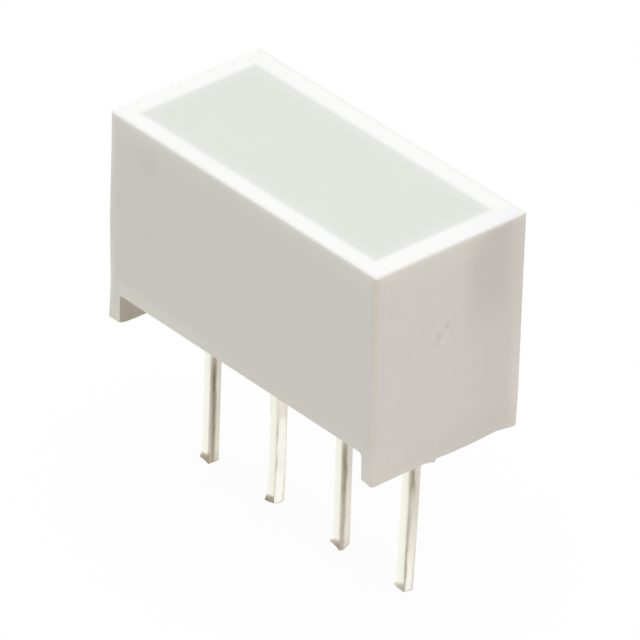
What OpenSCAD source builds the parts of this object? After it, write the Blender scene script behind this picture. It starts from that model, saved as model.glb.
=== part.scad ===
// Rectangular light bar with four leads in one row and two lit chips under one window.
// X runs along the length, Y across, Z up. The origin is on the seating plane,
// in the middle of the row of leads.

/* [Housing] */
// Length of the housing
body_l = 10.16; // [9.8:0.02:12.8]
// Width of the housing
body_w = 4.9; // [4.5:0.02:7]
// Height of the light face above the seating plane
body_h = 6.12; // [5.6:0.02:8]
// Radius of the upright outer edges
edge_r = 0.1; // [0.05:0.01:0.25]
// Height of the lower edge of the long walls above the seating plane
standoff = 0.85; // [0.5:0.01:1]
// Thickness of the end skirts
skirt_t = 0.38; // [0.3:0.01:0.5]
// Chamfer on the inner lower edge of each skirt
skirt_chamfer = 0.07; // [0.02:0.01:0.12]
// Radius between a skirt and the lower edge of a long wall
skirt_r = 0.12; // [0.05:0.01:0.3]
// Thickness of the long walls beside the back chamber
side_t = 0.45; // [0.35:0.01:0.55]
// Corner radius of the back chamber
chamber_r = 0.2; // [0.1:0.01:0.4]
// Height of the underside of the web that parts the chamber from the reflectors
web_z = 2.1; // [1.9:0.01:2.4]
// Thickness of the web
web_t = 0.45; // [0.35:0.01:0.6]

/* [Window and reflectors] */
// Width of the rim at the ends of the window
rim_end_w = 0.605; // [0.5:0.005:0.9]
// Width of the rim along the sides of the window
rim_side_w = 0.56; // [0.5:0.005:0.8]
// Corner radius of the window
window_r = 0.1; // [0.05:0.01:0.3]
// Offset of the window from the middle of the light face, along and across
window_shift = [-0.04, -0.035]; // [-0.1:0.005:0.1]
// Depth of the pocket that both reflectors share
pocket_depth = 0.9; // [0.6:0.01:1.2]
// Thickness of the divider between the reflectors at its top
divider_t = 0.2; // [0.1:0.01:0.4]
// Spacing of the chips
chip_pitch = 5.08; // [4.9:0.01:5.3]
// Width of a reflector at its floor
floor_w = 1.4; // [1.2:0.01:1.8]
// Margin of a reflector floor past the lead slot
floor_margin = 0.15; // [0.05:0.01:0.3]
// Clearance of the slot in the web round the lead heads
slot_clear = 0.12; // [0.05:0.01:0.2]

/* [Casting] */
// Recess of the casting's back edge above the lower edge of the long walls
back_recess = 0.12; // [0.05:0.01:0.4]
// Depth of the hollow across the back of the casting
back_sag = 0.1; // [0.05:0.01:0.2]

/* [Leads] */
// Spacing of the leads
lead_pitch = 2.54; // [2.5:0.01:2.6]
// Thickness of the lead sheet
lead_t = 0.38; // [0.25:0.01:0.45]
// Width of a shank
lead_w = 0.26; // [0.22:0.01:0.5]
// Length of each shank below the seating plane, first lead to last
lead_len = [4.78, 4.62, 4.77, 4.75]; // [3:0.01:6]
// Lean of each shank in degrees, first lead to last
lead_lean = [1.1, 0.55, 0.55, 2.2]; // [0:0.05:3]
// Shift of each lead along the row
lead_shift = [0.04, 0.08, 0.07, 0.13]; // [0:0.01:0.15]
// Radius that the shear rolls into one edge of a tip
tip_roll_r = 0.1; // [0.05:0.01:0.15]
// Reach of the burr that the shear leaves on the other edge of a tip
tip_burr = 0.06; // [0.02:0.01:0.1]
// Height over which the burr flares
burr_h = 0.12; // [0.05:0.01:0.2]
// Rise of the lip of the burr above the lowest point of a tip
burr_rise = 0.05; // [0.02:0.01:0.08]
// Height of the arms that seat against the web
arm_h = 0.5; // [0.35:0.01:0.7]
// Gap between the shoulder of the last lead and the end of the back chamber
end_clear = 0.36; // [0.15:0.01:0.5]
// Rise of the lead heads above the floor of a reflector
head_rise = 0.2; // [0.1:0.01:0.3]
// Width of a die head
die_head_w = 0.72; // [0.62:0.01:0.9]
// Width of a bond head
bond_head_w = 0.5; // [0.4:0.01:0.6]
// Gap between a die head and its bond head
head_gap = 0.3; // [0.2:0.01:0.4]
// Wall left round the coined cup at its brim
cup_wall = 0.05; // [0.03:0.01:0.1]
// Depth of the coined cup
cup_depth = 0.08; // [0.04:0.01:0.12]
// Slope of the cup wall in degrees from upright
cup_slope = 25; // [10:1:40]
// Height over which coining flares the top of a die head
flare_h = 0.24; // [0.15:0.01:0.4]

/* [Chips and wires] */
// Side of a chip
chip_w = 0.25; // [0.2:0.01:0.3]
// Height of a chip
chip_h = 0.2; // [0.15:0.01:0.28]
// Thickness of the die attach layer
attach_t = 0.02; // [0.01:0.005:0.03]
// Margin of the die attach round a chip's corners
attach_margin = 0.01; // [0.005:0.005:0.03]
// Diameter of the bond wire
wire_d = 0.025; // [0.02:0.001:0.04]
// Diameter of the ball bond
ball_d = 0.08; // [0.06:0.005:0.1]
// Height of the ball bond
ball_h = 0.02; // [0.015:0.001:0.03]
// Height of the two control points of the wire loop above its ends
loop_rise = 0.35; // [0.2:0.01:0.5]
// Length of the flattened stitch
stitch_l = 0.08; // [0.05:0.01:0.12]
// Width of the stitch at its end
stitch_w = 0.05; // [0.03:0.005:0.08]
// Thickness of the stitch at its end
stitch_t = 0.012; // [0.008:0.001:0.016]

/* [Hidden] */

WHITE = [0.95, 0.95, 0.93];
RESIN = [0.88, 0.89, 0.86];
SILVER = [0.82, 0.81, 0.76];
GOLD = [0.85, 0.65, 0.25];
CHIP = [0.75, 0.35, 0.2];
ADHESIVE = [0.55, 0.55, 0.55];

$fn = 48;
arc_steps = 8;
loft_steps = 8;
wire_sides = 8;
wire_steps = 16;
over = 1;

window_l = body_l - 2 * rim_end_w;
window_w = body_w - 2 * rim_side_w;
chamber_l = body_l - 2 * skirt_t;
chamber_w = body_w - 2 * side_t;
floor_z = web_z + web_t;
pocket_z = body_h - pocket_depth;
back_z = standoff + back_recess;

bond_head_x = die_head_w / 2 + head_gap;
bond_head_far = bond_head_x + bond_head_w;
head_z = floor_z + head_rise;
slot_x0 = -die_head_w / 2 - slot_clear;
slot_x1 = bond_head_far + slot_clear;
floor_l = 2 * (slot_x1 + floor_margin);

attach_r = chip_w / sqrt(2) + attach_margin;
cup_r = attach_r + cup_depth * tan(cup_slope);
head_r = cup_r + cup_wall;
slot_w = 2 * (max(head_r, lead_t / 2) + slot_clear);
attach_z = head_z - cup_depth;
chip_z = attach_z + attach_t;
chip_top = chip_z + chip_h;

function chip_x(k) = (k - 0.5) * chip_pitch;
function lead_x(n) = (n - 1.5) * lead_pitch + lead_shift[n];
shoulder_x = chamber_l / 2 - end_clear - lead_x(3);
function shank_drop(n) = (lead_len[n] + standoff) / cos(lead_lean[n]);

// Points of a rectangle with round corners, anticlockwise from the +X side
function round_rect_points(l, w, r) = [
    for (c = [[1, 1, 0], [-1, 1, 90], [-1, -1, 180], [1, -1, 270]], i = [0 : arc_steps])
        let (a = c[2] + 90 * i / arc_steps)
        [c[0] * (l / 2 - r) + r * cos(a), c[1] * (w / 2 - r) + r * sin(a)]
];

// Solid through rings of points that all have the same count, lowest ring first
module loft(rings) {
    n = len(rings[0]);
    last = len(rings) - 1;
    points = [for (ring = rings, p = ring) p];
    sides = [
        for (k = [0 : last - 1], i = [0 : n - 1])
            let (a = k * n + i, b = k * n + (i + 1) % n)
            each [[a, a + n, b + n], [a, b + n, b]]
    ];
    bottom = [for (i = [0 : n - 1]) i];
    top = [for (i = [n - 1 : -1 : 0]) last * n + i];
    polyhedron(points, concat([bottom, top], sides), convexity = 4);
}

module round_rect(l, w, r) {
    square([l - 2 * r, w], center = true);
    square([l, w - 2 * r], center = true);
    for (x = [-1, 1], y = [-1, 1])
        translate([x * (l / 2 - r), y * (w / 2 - r)])
            circle(r);
}

// Bowl of one reflector: its floor is centred on the chip, its brim fills half of the window
module reflector(k) {
    side = k == 0 ? -1 : 1;
    brim_l = (window_l - divider_t) / 2;
    brim_x = side * (window_l - brim_l) / 2 + window_shift[0];
    floor_r = floor_w / 2;
    loft([
        for (i = [0 : loft_steps])
            let (
                s = i / loft_steps,
                e = sin(90 * s),
                l = floor_l + (brim_l - floor_l) * e,
                w = floor_w + (window_w - floor_w) * e,
                r = floor_r + (window_r - floor_r) * e,
                x = chip_x(k) + (brim_x - chip_x(k)) * e,
                y = window_shift[1] * e,
                z = floor_z + (pocket_z - floor_z) * s
            )
            [for (p = round_rect_points(l, w, r)) [p[0] + x, p[1] + y, z]]
    ]);
}

module window_pocket(top) {
    translate([window_shift[0], window_shift[1], pocket_z])
        linear_extrude(top - pocket_z)
            polygon(round_rect_points(window_l, window_w, window_r));
}

module lead_slot(k) {
    translate([chip_x(k) + (slot_x0 + slot_x1) / 2, 0, web_z])
        linear_extrude(web_t)
            square([slot_x1 - slot_x0, slot_w], center = true);
}

module back_chamber(bottom) {
    translate([0, 0, bottom])
        linear_extrude(web_z - bottom)
            round_rect(chamber_l, chamber_w, chamber_r);
}

// Gap under the long walls, from skirt to skirt
module standoff_gap() {
    low = -over;
    half = chamber_l / 2;
    rotate([90, 0, 0])
        linear_extrude(body_w + 2 * over, center = true) {
            translate([0, (standoff + low) / 2])
                round_rect(chamber_l, standoff - low, skirt_r);
            polygon([
                [-half, skirt_chamfer],
                [-half - skirt_chamfer, 0],
                [-half - skirt_chamfer, low],
                [half + skirt_chamfer, low],
                [half + skirt_chamfer, 0],
                [half, skirt_chamfer]
            ]);
        }
}

module cavities(top, bottom) {
    window_pocket(top);
    for (k = [0, 1]) {
        reflector(k);
        lead_slot(k);
    }
    back_chamber(bottom);
}

module housing() {
    color(WHITE)
        difference() {
            linear_extrude(body_h)
                round_rect(body_l, body_w, edge_r);
            cavities(body_h + over, -over);
            standoff_gap();
        }
}

// Long roller whose upper side hollows the back of the casting
module back_roller() {
    r = (pow(chamber_w / 2, 2) + pow(back_sag, 2)) / (2 * back_sag);
    translate([0, 0, back_z + back_sag - r])
        rotate([0, 90, 0])
            cylinder(h = body_l, r = r, center = true, $fn = 256);
}

module epoxy_casting() {
    color(RESIN)
        difference() {
            cavities(body_h, back_z);
            back_roller();
            for (n = [0 : 3])
                lead(n);
            for (k = [0, 1]) {
                led_die(k);
                die_attach(k);
                bond_wire(k);
            }
        }
}

// Section across the sheet, endless along the row: two flat faces and the sheared tip,
// rolled on one edge and burred on the other
module sheet_section(n) {
    half = lead_t / 2;
    top = shank_drop(n) + head_z + over;
    translate([0, 0, standoff])
        rotate([0, lead_lean[n], 0])
            translate([0, 0, -shank_drop(n)])
                rotate([90, 0, 90])
                    linear_extrude(body_l, center = true)
                        polygon([
                            [half, top],
                            [-half, top],
                            [-half, burr_rise + burr_h],
                            [-half - tip_burr, burr_rise],
                            for (i = [0 : arc_steps])
                                let (a = 90 * i / arc_steps)
                                [half - tip_roll_r * (1 - sin(a)), tip_roll_r * (1 - cos(a))]
                        ]);
}

// Outline of a shank, bent at the height of the standoff and mitred there, running past the tip
module shank_outline(n) {
    lean = lead_lean[n];
    side = lead_w / 2;
    mitre = side * tan(lean / 2);
    reach = shank_drop(n) + over;
    polygon([
        [-side, web_z],
        [-side, standoff + mitre],
        [-side * cos(lean) - reach * sin(lean), standoff + side * sin(lean) - reach * cos(lean)],
        [side * cos(lean) - reach * sin(lean), standoff - side * sin(lean) - reach * cos(lean)],
        [side, standoff - mitre],
        [side, web_z]
    ]);
}

module outline_from(x0, x1, z0, z1) {
    translate([x0, z0])
        square([x1 - x0, z1 - z0]);
}

// Stamped sheet with the shank and the outlines given as children
module stamping(n) {
    intersection() {
        rotate([90, 0, 0])
            linear_extrude(lead_t + 2 * over, center = true) {
                shank_outline(n);
                children();
            }
        sheet_section(n);
    }
}

// Lead with an arm and a post whose top is coined into a cup for the chip
module die_lead(n, k) {
    x = chip_x(k) - lead_x(n);
    difference() {
        union() {
            stamping(n) {
                outline_from(-lead_w / 2, x + die_head_w / 2, web_z - arm_h, web_z);
                outline_from(x - die_head_w / 2, x + die_head_w / 2, web_z - arm_h, head_z);
            }
            translate([x, 0, head_z - flare_h])
                cylinder(h = flare_h, r1 = lead_t / 2, r2 = head_r);
        }
        translate([x, 0, attach_z])
            cylinder(h = cup_depth, r1 = attach_r, r2 = cup_r);
    }
}

// Lead with a flat head beside the chip, where the wire is stitched
module bond_lead(n, k) {
    x = chip_x(k) - lead_x(n);
    near = x + bond_head_x;
    far = x + bond_head_far;
    stamping(n) {
        outline_from(min(near, -lead_w / 2), shoulder_x, web_z - arm_h, web_z);
        outline_from(near, far, web_z - arm_h, head_z);
    }
}

module lead(n) {
    color(SILVER)
        translate([lead_x(n), 0, 0]) {
            if (n % 2 == 0)
                die_lead(n, n / 2);
            else
                bond_lead(n, (n - 1) / 2);
        }
}

module led_die(k) {
    color(CHIP)
        translate([chip_x(k) - chip_w / 2, -chip_w / 2, chip_z])
            cube([chip_w, chip_w, chip_h]);
}

module die_attach(k) {
    color(ADHESIVE)
        translate([chip_x(k), 0, attach_z])
            cylinder(h = attach_t, r = attach_r);
}

// One cross section of the wire: centre, heading in degrees, width and height
function wire_ring(x, z, heading, w, h) = [
    for (i = [0 : wire_sides - 1])
        let (
            a = (i + 0.5) * 360 / wire_sides,
            up = h / 2 * sin(a)
        )
        [x - up * sin(heading), w / 2 * cos(a), z + up * cos(heading)]
];

function bezier(p, t) =
    pow(1 - t, 3) * p[0] + 3 * pow(1 - t, 2) * t * p[1] + 3 * (1 - t) * t * t * p[2] + pow(t, 3) * p[3];

function bezier_slope(p, t) =
    3 * pow(1 - t, 2) * (p[1] - p[0]) + 6 * (1 - t) * t * (p[2] - p[1]) + 3 * t * t * (p[3] - p[2]);

// Gold wire from a ball on the chip, over a loop, to a flattened stitch on the bond head
module bond_wire(k) {
    flat = cos(180 / wire_sides) / 2;
    start = [0, chip_top + ball_h / 2];
    land = [bond_head_x + bond_head_w / 2, head_z + wire_d * flat];
    curve = [start, start + [0, loop_rise], land + [-bond_head_w / 2, loop_rise], land];
    color(GOLD)
        translate([chip_x(k), 0, 0]) {
            translate([0, 0, chip_top])
                cylinder(h = ball_h, d = ball_d);
            loft([
                for (i = [0 : wire_steps])
                    let (
                        p = bezier(curve, i / wire_steps),
                        v = bezier_slope(curve, i / wire_steps)
                    )
                    wire_ring(p[0], p[1], i == wire_steps ? 0 : atan2(v[1], v[0]), wire_d, wire_d),
                wire_ring(land[0] + stitch_l, head_z + stitch_t * flat, 0, stitch_w, stitch_t)
            ]);
        }
}

module lead_1() lead(0);
module lead_2() lead(1);
module lead_3() lead(2);
module lead_4() lead(3);
module led_die_a() led_die(0);
module led_die_b() led_die(1);
module die_attach_a() die_attach(0);
module die_attach_b() die_attach(1);
module bond_wire_a() bond_wire(0);
module bond_wire_b() bond_wire(1);

housing();
epoxy_casting();
lead_1();
lead_2();
lead_3();
lead_4();
led_die_a();
led_die_b();
die_attach_a();
die_attach_b();
bond_wire_a();
bond_wire_b();
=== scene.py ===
"""A light bar with one frosted window and four leads in a row, dressed for a close view."""
import math
from collections import namedtuple

import bmesh
import bpy
from mathutils import Matrix, Vector, noise


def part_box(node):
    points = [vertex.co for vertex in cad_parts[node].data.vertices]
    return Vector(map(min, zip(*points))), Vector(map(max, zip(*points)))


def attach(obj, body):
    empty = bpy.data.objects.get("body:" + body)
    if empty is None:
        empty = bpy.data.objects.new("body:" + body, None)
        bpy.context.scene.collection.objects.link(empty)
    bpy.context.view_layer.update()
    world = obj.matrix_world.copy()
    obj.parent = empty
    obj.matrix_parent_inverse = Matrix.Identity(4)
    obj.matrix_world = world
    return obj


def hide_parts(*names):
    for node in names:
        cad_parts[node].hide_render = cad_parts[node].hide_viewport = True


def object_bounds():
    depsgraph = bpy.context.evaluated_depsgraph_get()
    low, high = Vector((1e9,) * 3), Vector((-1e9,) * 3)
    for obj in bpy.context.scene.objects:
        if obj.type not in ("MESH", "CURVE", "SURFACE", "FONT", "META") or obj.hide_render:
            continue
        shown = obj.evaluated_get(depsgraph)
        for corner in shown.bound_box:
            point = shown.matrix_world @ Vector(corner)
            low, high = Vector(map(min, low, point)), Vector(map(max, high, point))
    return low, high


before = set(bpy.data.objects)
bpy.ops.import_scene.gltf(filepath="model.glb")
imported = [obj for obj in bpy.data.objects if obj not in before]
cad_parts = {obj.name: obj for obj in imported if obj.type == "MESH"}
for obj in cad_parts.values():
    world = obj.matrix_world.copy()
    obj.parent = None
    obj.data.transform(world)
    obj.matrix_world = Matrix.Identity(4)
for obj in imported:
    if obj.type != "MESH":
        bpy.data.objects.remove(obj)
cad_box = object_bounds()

# Sizes and places are in millimetres until a piece is finished
MM = 0.001
TOLERANCE = 0.001
OVER = 1.0  # how far a cut runs past the surface that it opens
LAP = 0.01  # how far two cuts overlap


def span(node):
    """Lowest and highest corner of one node of the frame."""
    low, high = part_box(node)
    return low / MM, high / MM


# The body, the resin and the lowest tip, as the frame has them
BODY_LOW, BODY_HIGH = span("housing")
CASTING_LOW, CASTING_HIGH = span("epoxy_casting")
TIP_LEVEL = cad_box[0].z / MM
BODY_L = BODY_HIGH.x - BODY_LOW.x
BODY_W = BODY_HIGH.y - BODY_LOW.y
BODY_H = BODY_HIGH.z
CHAMBER_L = CASTING_HIGH.x - CASTING_LOW.x
CHAMBER_W = CASTING_HIGH.y - CASTING_LOW.y
BACK_LEVEL = CASTING_LOW.z

# Walls and hollows of the housing
STANDOFF = 0.85  # air under the long walls
WEB_LEVEL = 2.1  # underside of the web that the lead heads pass through
WEB_T = 0.45
FLOOR_LEVEL = WEB_LEVEL + WEB_T
RIM_END_W = 0.605  # white rim beside the window, at the ends
RIM_SIDE_W = 0.56  # and along the sides
WINDOW_L = BODY_L - 2 * RIM_END_W
WINDOW_W = BODY_W - 2 * RIM_SIDE_W
WINDOW_SHIFT = (-0.04, -0.035)  # the window lies a little off the middle
POCKET_DEPTH = 0.9  # from the window down to the brims of the bowls
POCKET_LEVEL = BODY_H - POCKET_DEPTH
DIVIDER_T = 0.2  # wall between the brims of the bowls
BOWL_FLOOR_W = 1.4
BOWL_FLOOR_MARGIN = 0.15  # from the slot for the lead heads to the end of a bowl's floor
BOWL_ROUND = 0.999  # roundness of a bowl's floor, as a share of half its width
SLOT_CLEAR = 0.12  # room round the lead heads

# Roundings of the housing
EDGE_R = 0.1  # uprights
TOP_EDGE = 0.09
LOWER_EDGE = 0.02  # feet and lower edges of the walls
SKIRT_R = 0.12  # upper corners of the standoff gap
NOTCH_R = 0.07  # near edge of the left skirt's inner face
SKIRT_CHAMFER = 0.05  # inner foot of the right skirt
CHAMBER_R = 0.2
WINDOW_R = 0.1
CORNER_STEPS = 6
BOWL_STEPS = 10

# The leads, from -X to +X
LEADS = range(4)
LEAD_PITCH = 2.54
LEAD_T = 0.38
LEAD_W = (0.265, 0.26, 0.26, 0.285)
LEAD_SHIFT = (0.04, 0.08, 0.07, 0.14)  # how far each stands off its place in the row
LEAD_LEN = (4.78, 4.66, 4.77, 4.77)  # below the seat
LEAD_LEAN = (1.1, 0.55, 0.55, 2.2)  # degrees from upright
DIE_HEAD_W = 0.72
BOND_HEAD_W = 0.5
HEAD_GAP = 0.3


def share(value):
    """A value held between 0 and 1."""
    return min(1.0, max(0.0, value))


def along(points, place):
    """Values at a place, between points that run up or down in a row."""
    for (start, *first), (end, *last) in zip(points, points[1:]):
        part = (place - start) / (end - start)
        if part <= 1:
            return [a + (b - a) * max(0.0, part) for a, b in zip(first, last)]
    return list(points[-1][1:])


def distance(first, second):
    """Length of a step with these parts along two axes."""
    return (first ** 2 + second ** 2) ** 0.5


class Term:
    """A number inside a finish. Arithmetic on it adds Math nodes."""

    def __init__(self, finish, socket):
        self.finish = finish
        self.socket = socket

    def math(self, operation, first, second=0.0):
        return self.finish.node("ShaderNodeMath", {"operation": operation}, {0: first, 1: second})

    def __add__(self, other):
        return self.math("ADD", self, other)

    def __sub__(self, other):
        return self.math("SUBTRACT", self, other)

    def __rsub__(self, other):
        return self.math("SUBTRACT", other, self)

    def __mul__(self, other):
        return self.math("MULTIPLY", self, other)

    def __pow__(self, other):
        return self.math("POWER", self, other)

    def __abs__(self):
        return self.math("ABSOLUTE", self)

    def most(self, other):
        return self.math("MAXIMUM", self, other)

    def least(self, other):
        return self.math("MINIMUM", self, other)

    __radd__ = __add__
    __rmul__ = __mul__


class Finish:
    """The nodes of a material or a world in the making. Each of them comes from node()."""

    def __init__(self, owner):
        owner.use_nodes = True
        self.owner = owner
        self.tree = owner.node_tree
        self.tree.nodes.clear()

    def node(self, kind, settings=None, sockets=None, output=0):
        made = self.tree.nodes.new(kind)
        for name, value in (settings or {}).items():
            setattr(made, name, value)
        for name, value in (sockets or {}).items():
            if isinstance(value, Term):
                self.tree.links.new(value.socket, made.inputs[name])
            else:
                made.inputs[name].default_value = value
        return Term(self, made.outputs[output]) if made.outputs else None

    def place(self):
        """Where a point is on the part, as a vector in millimetres."""
        metres = self.node("ShaderNodeTexCoord", output="Object")
        return self.node("ShaderNodeVectorMath", {"operation": "SCALE"}, {0: metres, "Scale": 1 / MM})

    def turned(self):
        """Direction that a surface faces."""
        return self.node("ShaderNodeNewGeometry", output="Normal")

    def axes(self, vector):
        """The three parts of a place or a direction, each as a number."""
        split = self.node("ShaderNodeSeparateXYZ", None, {0: vector})
        return [Term(self, socket) for socket in split.socket.node.outputs]

    def stretch(self, place, factors):
        """A place in which a pattern is finer or coarser along each axis."""
        return self.node("ShaderNodeVectorMath", {"operation": "MULTIPLY"}, {0: place, 1: factors})

    def cloud(self, place, scale, detail=2.0):
        """Soft noise from 0 to 1 with about scale features in a millimetre."""
        return self.node("ShaderNodeTexNoise", None, {"Vector": place, "Scale": scale, "Detail": detail})

    def point_values(self, name):
        """A value written on the points of a mesh under a name: wear, and also painted shade and highlight.
        """
        return self.node("ShaderNodeAttribute", {"attribute_name": name}, output="Fac")

    def fade(self, value, low, high):
        """Goes smoothly from 0 at low to 1 at high."""
        sockets = {"Value": value, "From Min": low, "From Max": high}
        return self.node("ShaderNodeMapRange", {"interpolation_type": "SMOOTHSTEP"}, sockets)

    def wane(self, value, low, high):
        """Goes smoothly from 1 at low to 0 at high."""
        return 1 - self.fade(value, low, high)

    def between(self, value, rise, fall):
        """Goes from 0 to 1 over the range rise, and back to 0 over the range fall."""
        return self.fade(value, *rise) * self.wane(value, *fall)

    def blend(self, amount, first, second):
        """Colour that goes from first to second as amount goes from 0 to 1."""
        return self.node("ShaderNodeMix", {"data_type": "RGBA"}, {0: amount, 6: first, 7: second}, output=2)

    def relief(self, height, depth):
        """Normals of a surface whose height goes from 0 to 1 over a depth in millimetres."""
        return self.node("ShaderNodeBump", None, {"Height": height, "Distance": depth * MM}, output="Normal")

    def surface(self, colour, roughness, metallic=0.0, normal=None):
        """Closes the material with one Principled shader and returns it."""
        sockets = {"Base Color": colour, "Roughness": roughness, "Metallic": metallic}
        if normal:
            sockets["Normal"] = normal
        shader = self.node("ShaderNodeBsdfPrincipled", None, sockets)
        self.node("ShaderNodeOutputMaterial", None, {"Surface": shader})
        return self.owner


def rgb(red, green, blue):
    return (red, green, blue, 1.0)


WHITE = rgb(1, 1, 1)
BLACK = rgb(0, 0, 0)

# Colours of the white plastic: its clouds, and the places where it differs from them, some of them painted
# shade
PLASTIC_CLOUDS = (rgb(0.85, 0.845, 0.82), rgb(0.872, 0.868, 0.85))
END_BACK_SHADE = rgb(0.805, 0.792, 0.771)
END_PATCH_SHADE = rgb(0.74, 0.716, 0.7)
EDGE_GLOW = rgb(0.968, 0.952, 0.897)
UPRIGHT_SHADE = rgb(0.812, 0.79, 0.718)
GAP_SHADE = rgb(0.6, 0.56, 0.47)
ROUNDED_TOP_SHADE = rgb(0.8, 0.79, 0.765)
FAR_RIM = rgb(0.8, 0.805, 0.79)
RESIN_BELOW = rgb(0.69, 0.697, 0.648)
DUST = rgb(0.35, 0.33, 0.27)
GATE_STAIN = rgb(0.52, 0.5, 0.36)

# Colours of the other finishes. A pair is for the two ends of a pattern.
RESIN_CLOUDS = (rgb(0.652, 0.658, 0.61), rgb(0.668, 0.674, 0.628))
RESIN_BORDER = rgb(0.86, 0.855, 0.83)
ROLLED_FACE = (rgb(0.93, 0.93, 0.79), rgb(0.975, 0.965, 0.87))
LIT_LOW_FACE = rgb(1.0, 1.0, 0.88)
SHEARED_SIDE = (rgb(0.955, 0.905, 0.79), rgb(1.0, 0.985, 0.915))
SIDE_HIGHLIGHT = rgb(1.0, 0.995, 0.94)
TORN_BAND_AND_SHADE = rgb(0.26, 0.22, 0.145)
BARE_COPPER = rgb(0.33, 0.26, 0.185)
CRYSTAL = (rgb(0.22, 0.06, 0.03), rgb(0.32, 0.1, 0.05))
CHIP_CONTACT = rgb(0.55, 0.42, 0.3)
ADHESIVE = (rgb(0.32, 0.32, 0.31), rgb(0.66, 0.65, 0.62))
DRAWN_GOLD = (rgb(0.83, 0.56, 0.2), rgb(0.92, 0.68, 0.28))

# How far the glow of the plastic's edges reaches in from them: where it starts to fade, and where it ends
TOP_GLOW = (0.02, 0.3)
TOP_HAZE = (0.1, 0.9)
LEFT_GLOW = (0.04, 0.34)
BACK_GLOW = (0.04, 0.55)
WALL_GLOW = (0.0, 0.8)
FOOT_GLOW = (0.0, 0.4)
FOOT_HAZE = (0.0, 1.2)
FOOT_HAZE_IN = (0.2, 1.9)  # the haze of the foot along the end, from its near corner
NOTCH_GLOW = (0.03, 0.16)  # beside the inner edge of the right skirt, and up that edge
NOTCH_UP = (0.5, 0.8)
GLOWING_FACE = (0.05, 0.4)  # keeps the glow of an upright on one of its two faces

# Where the glow is weaker or stronger along an edge
UNDER_ROUNDING = (0.03, 0.13)
DIM_TOP = ((0.7, 1.6), (1.9, 2.4))  # on the end at +X: where the dim stretches set in, and where they end
DIM_TOP_UNDER = (0.06, 0.14)
DIM_FOOT = ((-1.3, -0.3), (1.9, 2.4))
DIM_LEFT_LEVEL = 3.3  # the middle of the left upright's dim stretch, and its reach up and down
DIM_LEFT = (0.3, 1.8)
DIM_BACK = (1.2, 3.4)
BRIGHT_WALL = (-2.5, 1.0)  # along the wall's foot, brighter to the left

# Shade of the upright between the near long face and the end at +X: across it, at its foot and further up
UPRIGHT_LINE = (0.02, 0.22)
UPRIGHT_FOOT = (0.6, 1.4)
UPRIGHT_DEEP = (3.0, 4.6)

# Shade on the inner faces of the skirts: where it pales, and how much a step inwards counts in that
GAP_PALES = (0.45, 1.35)
GAP_INWARDS = 0.966

# Painted shade on the end at +X, darker on its back part and darker still in a patch on it: across to its
# middle, on to the back, and up
END_BACK = (-0.1, 1.5)
SHADE_PATCH_NEAR = (0.2, 1.2)
SHADE_PATCH_BACK = (1.6, 2.2)
SHADE_PATCH_UP = (2.6, 4.6)

OUTER_SKIN = (0.0, 0.05)  # keeps a colour on the outer faces
TOP_SKIN = (0.0, 0.03)  # keeps a colour on the flat top

# Where the moulder's gate was cut off, across and up the end at +X, and its dents with radius and strength
GATE_PLACE = (-0.17, 3.6)
GATE_R = 0.25
GATE_DENTS = (
    (-0.055, 3.79, 0.08, 1.0),
    (-0.31, 3.58, 0.09, 1.0),
    (0.104, 3.53, 0.07, 0.4),
    (-0.385, 3.39, 0.08, 0.6),
)
STAIN_REACH = 1.8  # of the stain round a dent, in radii of the dent

# A faint smudge on the near long face: its middle along and up the face, and its reach
SMUDGE_PLACE = (-3.6, 5.25)
SMUDGE_REACH = (0.1, 0.6)

# How far the soft border of the window reaches into the rim and into the resin
WINDOW_BORDER = 0.12


def window_depth(x, y):
    """How far a place lies inside the window's border."""
    shift_x, shift_y = WINDOW_SHIFT
    return (WINDOW_L / 2 - abs(x - shift_x)).least(WINDOW_W / 2 - abs(y - shift_y))


def window_side(finish, x, y):
    """1 on the resin's side of the window's soft border, and 0 on the rim's side."""
    return finish.fade(window_depth(x, y), -WINDOW_BORDER, WINDOW_BORDER)


# A place on the housing, and how far it lies in from the top and from each side
Spot = namedtuple("Spot", "x y z top left right near back")


def spot_at(finish, place):
    x, y, z = finish.axes(place)
    return Spot(x, y, z, BODY_H - z, x + BODY_L / 2, BODY_L / 2 - x, y + BODY_W / 2, BODY_W / 2 - y)


def edge_glow(finish, spot, on_end):
    """Light from above that glows through the edges of the plastic."""
    top = finish.wane(spot.top, *TOP_GLOW).most(finish.wane(spot.top, *TOP_HAZE) * 0.35)
    dim_top = finish.between(spot.y, *DIM_TOP) * finish.fade(spot.top, *DIM_TOP_UNDER)
    top *= (1 - on_end * dim_top) * finish.fade(spot.top, *UNDER_ROUNDING)
    off_middle = finish.fade(abs(spot.z - DIM_LEFT_LEVEL), *DIM_LEFT)
    left = finish.wane(spot.left, *LEFT_GLOW) * (off_middle * 0.5 + 0.55)
    left *= finish.wane(spot.near, *GLOWING_FACE)
    back = finish.wane(spot.back, *BACK_GLOW) * (0.75 - finish.fade(spot.z, *DIM_BACK) * 0.45)
    back *= finish.wane(spot.left.least(spot.right), *GLOWING_FACE)
    wall = finish.wane(spot.z - STANDOFF, *WALL_GLOW) * (finish.wane(spot.x, *BRIGHT_WALL) * 0.35 + 0.2)
    wall *= finish.wane(abs(spot.x), CHAMBER_L / 2, CHAMBER_L / 2 + 0.1)
    foot_haze = finish.wane(spot.z, *FOOT_HAZE) * finish.wane(spot.near, *FOOT_HAZE_IN)
    foot = finish.wane(spot.z, *FOOT_GLOW).most(foot_haze)
    foot *= finish.fade(spot.right, 0.0, 0.2) * 0.3 + 0.7
    foot *= 1 - on_end * finish.between(spot.y, *DIM_FOOT) * 0.65
    notch = finish.wane(abs(spot.x - CHAMBER_L / 2 - 0.01), *NOTCH_GLOW)
    notch *= finish.wane(spot.z, *NOTCH_UP)
    glow = top.most(left).most(back).most(wall).most(foot).most(notch)
    in_from_side = spot.left.least(spot.right).least(spot.near.least(spot.back))
    return glow * finish.wane(in_from_side, *OUTER_SKIN)


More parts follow.
